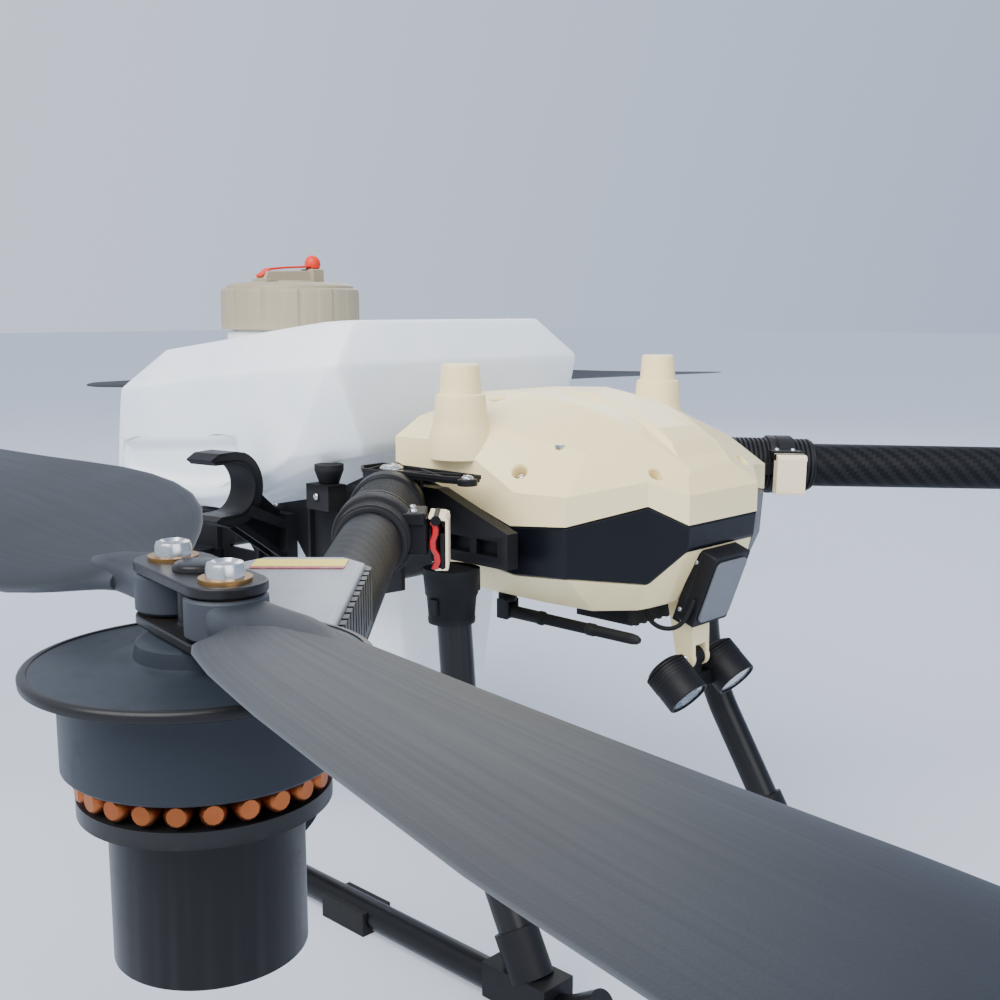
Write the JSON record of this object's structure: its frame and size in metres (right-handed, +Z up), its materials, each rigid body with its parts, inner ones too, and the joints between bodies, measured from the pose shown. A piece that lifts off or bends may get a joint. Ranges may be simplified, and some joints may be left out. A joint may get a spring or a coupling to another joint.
{
  "type": "agricultural spray drone",
  "caption": "Folding-arm agricultural spray drone with a translucent liquid tank, faceted nose, radar, spot lamps and centrifugal nozzles on skid legs.",
  "frame": {"origin": "on the ground, on the centre plane, midway between the front and rear arm hinges", "axes": "nose towards -Y, the drone's left towards +X, +Z up"},
  "size_m": [2.6124, 2.3691, 0.683],
  "materials": {
    "cover_cream": "satin moulded ABS",
    "band_navy": "satin",
    "frame_black": "fine-grained glass-filled nylon",
    "carbon_tube": "woven carbon, satin clear coat",
    "blade": "carbon-filled nylon, matt",
    "motor_black": "anodised black aluminium",
    "housing_grey": "satin",
    "tank_white": "blow-moulded translucent polyethylene",
    "cap_beige": "moulded polypropylene",
    "strap_orange": "silicone",
    "clip_red": "satin",
    "latch_cream": "satin",
    "rubber_black": "matt",
    "steel": "brushed",
    "brass": "plain",
    "leg_black": "satin powder coat",
    "radar_grey": "matt",
    "lens_clear": "clear",
    "board_green": "circuit housing",
    "battery_grey": "textured"
  },
  "bodies": {
    "frame": {"antenna_base": "frame_black", "arm_hook_left": "frame_black", "arm_hook_right": "frame_black", "cross_beams": "motor_black", "fasteners": "steel", "flight_electronics": "board_green", "hinge_brackets": "frame_black", "landing_legs": "leg_black", "leg_feet": "frame_black", "leg_sockets": "frame_black", "liquid_hoses": "rubber_black", "nose_lower_shell": "cover_cream", "nose_mid_band": "band_navy", "nose_top_cover": "cover_cream", "pumps": "frame_black", "radar_bracket": "cover_cream", "radar_cable": "rubber_black", "radar_module": "radar_grey", "rear_housing": "cover_cream", "side_plates": "frame_black", "skid_pads": "rubber_black", "skid_tubes": "leg_black", "tank_seats": "rubber_black"},
    "spray_tank": {"spray_tank": "tank_white"},
    "tank_cap": {"tank_cap": "cap_beige", "cap_strap": "strap_orange"},
    "battery": {"battery_pack": "battery_grey"},
    "lamps": {"lamp_housing": "motor_black", "lamp_lenses": "lens_clear"},
    "antenna": {"antenna_rod": "rubber_black"},
    "front_right_arm": {"front_right_arm_root": "frame_black", "front_right_arm_tube": "carbon_tube", "front_right_motor_pod": "motor_black"},
    "front_right_rotor": {"front_right_rotor": "motor_black"},
    "front_right_blade_a": {"front_right_blade_a": "blade"},
    "front_right_blade_b": {"front_right_blade_b": "blade"},
    "front_right_latch": {"front_right_latch": "latch_cream"},
    "front_left_arm": {"front_left_arm_root": "frame_black", "front_left_arm_tube": "carbon_tube", "front_left_motor_pod": "motor_black"},
    "front_left_rotor": {"front_left_rotor": "motor_black"},
    "front_left_blade_a": {"front_left_blade_a": "blade"},
    "front_left_blade_b": {"front_left_blade_b": "blade"},
    "front_left_latch": {"front_left_latch": "latch_cream"},
    "rear_right_arm": {"rear_right_arm_root": "frame_black", "rear_right_arm_tube": "carbon_tube", "rear_right_motor_pod": "motor_black", "rear_right_nozzle": "frame_black"},
    "rear_right_rotor": {"rear_right_rotor": "motor_black"},
    "rear_right_blade_a": {"rear_right_blade_a": "blade"},
    "rear_right_blade_b": {"rear_right_blade_b": "blade"},
    "rear_right_nozzle_disc": {"rear_right_nozzle_disc": "steel"},
    "rear_left_arm": {"rear_left_arm_root": "frame_black", "rear_left_arm_tube": "carbon_tube", "rear_left_motor_pod": "motor_black", "rear_left_nozzle": "frame_black"},
    "rear_left_rotor": {"rear_left_rotor": "motor_black"},
    "rear_left_blade_a": {"rear_left_blade_a": "blade"},
    "rear_left_blade_b": {"rear_left_blade_b": "blade"},
    "rear_left_nozzle_disc": {"rear_left_nozzle_disc": "steel"}
  },
  "joints": [
    {"name": "tank_lift", "type": "slide", "parent": "frame", "child": "spray_tank", "axis": [0, 0, 1], "range_m": [0, 0.32]},
    {"name": "cap_lift", "type": "slide", "parent": "spray_tank", "child": "tank_cap", "axis": [0, 0, 1], "range_m": [0, 0.12]},
    {"name": "battery_slide", "type": "slide", "parent": "frame", "child": "battery", "axis": [0, 1, 0], "range_m": [0, 0.3]},
    {"name": "lamp_tilt", "type": "hinge", "parent": "frame", "child": "lamps", "pos_m": [0, -0.42, 0.286], "axis": [1, 0, 0], "range_deg": [-25, 25]},
    {"name": "antenna_fold", "type": "hinge", "parent": "frame", "child": "antenna", "pos_m": [-0.11, -0.28, 0.327], "axis": [1, 0, 0], "range_deg": [0, 90]},
    {"name": "front_right_arm_fold", "type": "hinge", "parent": "frame", "child": "front_right_arm", "pos_m": [-0.2, -0.216, 0.438], "axis": [0, 0, -1], "range_deg": [0, 122.9]},
    {"name": "front_right_rotor_spin", "type": "hinge", "parent": "front_right_arm", "child": "front_right_rotor", "pos_m": [-0.72152, -0.70918, 0.51546], "axis": [0, 0, 1], "continuous": true},
    {"name": "front_right_blade_a_fold", "type": "hinge", "parent": "front_right_rotor", "child": "front_right_blade_a", "pos_m": [-0.71762, -0.68702, 0.51546], "axis": [0, 0, 1], "range_deg": [0, 119.88]},
    {"name": "front_right_blade_b_fold", "type": "hinge", "parent": "front_right_rotor", "child": "front_right_blade_b", "pos_m": [-0.72543, -0.73134, 0.51546], "axis": [0, 0, 1], "range_deg": [0, 119.88]},
    {"name": "front_right_latch_swing", "type": "hinge", "parent": "front_right_arm", "child": "front_right_latch", "pos_m": [-0.27609, -0.35719, 0.44828], "axis": [-0.7264, -0.6869, -0.0244], "range_deg": [0, 80]},
    {"name": "front_left_arm_fold", "type": "hinge", "parent": "frame", "child": "front_left_arm", "pos_m": [0.2, -0.216, 0.438], "axis": [0, 0, 1], "range_deg": [0, 122.9]},
    {"name": "front_left_rotor_spin", "type": "hinge", "parent": "front_left_arm", "child": "front_left_rotor", "pos_m": [0.72152, -0.70918, 0.51546], "axis": [0, 0, 1], "continuous": true},
    {"name": "front_left_blade_a_fold", "type": "hinge", "parent": "front_left_rotor", "child": "front_left_blade_a", "pos_m": [0.73782, -0.69366, 0.51546], "axis": [0, 0, 1], "range_deg": [-76.56, 0]},
    {"name": "front_left_blade_b_fold", "type": "hinge", "parent": "front_left_rotor", "child": "front_left_blade_b", "pos_m": [0.70523, -0.7247, 0.51546], "axis": [0, 0, 1], "range_deg": [-76.56, 0]},
    {"name": "front_left_latch_swing", "type": "hinge", "parent": "front_left_arm", "child": "front_left_latch", "pos_m": [0.27609, -0.35719, 0.44828], "axis": [-0.7264, 0.6869, 0.0244], "range_deg": [0, 80]},
    {"name": "rear_right_arm_fold", "type": "hinge", "parent": "frame", "child": "rear_right_arm", "pos_m": [-0.2, 0.216, 0.313], "axis": [0, 0, 1], "range_deg": [0, 60]},
    {"name": "rear_right_rotor_spin", "type": "hinge", "parent": "rear_right_arm", "child": "rear_right_rotor", "pos_m": [-0.7191, 0.70689, 0.47931], "axis": [0, 0, 1], "continuous": true},
    {"name": "rear_right_blade_a_fold", "type": "hinge", "parent": "rear_right_rotor", "child": "rear_right_blade_a", "pos_m": [-0.69895, 0.71689, 0.47931], "axis": [0, 0, 1], "range_deg": [-15.05, 0]},
    {"name": "rear_right_blade_b_fold", "type": "hinge", "parent": "rear_right_rotor", "child": "rear_right_blade_b", "pos_m": [-0.73925, 0.69688, 0.47931], "axis": [0, 0, 1], "range_deg": [-15.05, 0]},
    {"name": "rear_right_nozzle_spin", "type": "hinge", "parent": "rear_right_arm", "child": "rear_right_nozzle_disc", "pos_m": [-0.7191, 0.70689, 0.16431], "axis": [0, 0, 1], "continuous": true},
    {"name": "rear_left_arm_fold", "type": "hinge", "parent": "frame", "child": "rear_left_arm", "pos_m": [0.2, 0.216, 0.313], "axis": [0, 0, -1], "range_deg": [0, 60]},
    {"name": "rear_left_rotor_spin", "type": "hinge", "parent": "rear_left_arm", "child": "rear_left_rotor", "pos_m": [0.7191, 0.70689, 0.47931], "axis": [0, 0, 1], "continuous": true},
    {"name": "rear_left_blade_a_fold", "type": "hinge", "parent": "rear_left_rotor", "child": "rear_left_blade_a", "pos_m": [0.73925, 0.69688, 0.47931], "axis": [0, 0, 1], "range_deg": [0, 15.05]},
    {"name": "rear_left_blade_b_fold", "type": "hinge", "parent": "rear_left_rotor", "child": "rear_left_blade_b", "pos_m": [0.69895, 0.71689, 0.47931], "axis": [0, 0, 1], "range_deg": [0, 15.05]},
    {"name": "rear_left_nozzle_spin", "type": "hinge", "parent": "rear_left_arm", "child": "rear_left_nozzle_disc", "pos_m": [0.7191, 0.70689, 0.16431], "axis": [0, 0, 1], "continuous": true}
  ],
  "couplings": [
    {"joint": "front_right_blade_a_fold", "follows": "front_right_arm_fold", "ratio": 0.975},
    {"joint": "front_right_blade_b_fold", "follows": "front_right_arm_fold", "ratio": 0.975},
    {"joint": "front_left_blade_a_fold", "follows": "front_left_arm_fold", "ratio": -0.6225},
    {"joint": "front_left_blade_b_fold", "follows": "front_left_arm_fold", "ratio": -0.6225},
    {"joint": "rear_right_blade_a_fold", "follows": "rear_right_arm_fold", "ratio": -0.25},
    {"joint": "rear_right_blade_b_fold", "follows": "rear_right_arm_fold", "ratio": -0.25},
    {"joint": "rear_left_blade_a_fold", "follows": "rear_left_arm_fold", "ratio": 0.25},
    {"joint": "rear_left_blade_b_fold", "follows": "rear_left_arm_fold", "ratio": 0.25}
  ]
}
